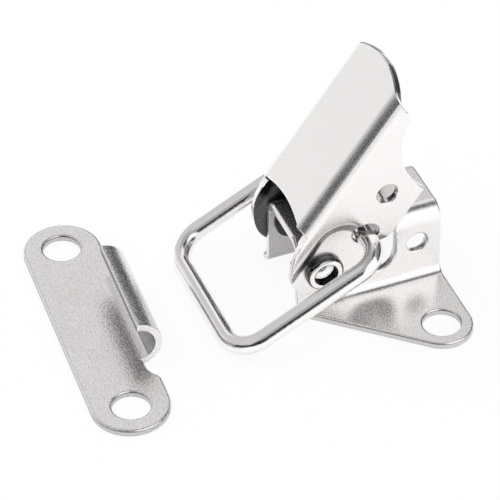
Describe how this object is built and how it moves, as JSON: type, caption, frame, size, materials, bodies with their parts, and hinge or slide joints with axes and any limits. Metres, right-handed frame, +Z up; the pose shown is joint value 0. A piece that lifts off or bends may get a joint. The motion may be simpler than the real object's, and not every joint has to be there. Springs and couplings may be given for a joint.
{
  "type": "over centre toggle latch",
  "caption": "Stainless over centre toggle latch: a sheet lever on a raised base pulls a wire bail over a separate hooked strike plate.",
  "frame": {"origin": "midway between the two screw holes of the base, on its underside", "axes": "+X from the strike plate to the rear of the latch, +Y across the latch along the rivets, +Z up off the surface it is screwed to"},
  "size_m": [0.0522, 0.0416, 0.0343],
  "materials": {
    "base_sheet": "bright tumbled stainless sheet",
    "lever_sheet": "bright tumbled stainless sheet",
    "rivet_metal": "bright stainless",
    "bail_wire": "drawn bright stainless wire",
    "strike_sheet": "satin tumbled stainless sheet"
  },
  "bodies": {
    "base": {"base_plate": "base_sheet", "near_rivet": "rivet_metal", "far_rivet": "rivet_metal", "strike_plate": "strike_sheet"},
    "lever": {"lever": "lever_sheet"},
    "bail": {"bail": "bail_wire"}
  },
  "joints": [
    {"name": "lever_pivot", "type": "hinge", "parent": "base", "child": "lever", "pos_m": [-0.013, 0, 0.0071], "axis": [0, -1, 0], "range_deg": [-53.7, 6.3]},
    {"name": "bail_swing", "type": "hinge", "parent": "lever", "child": "bail", "pos_m": [-0.00725, 0, 0.01138], "axis": [0, -1, 0], "range_deg": [-123, 30]}
  ]
}
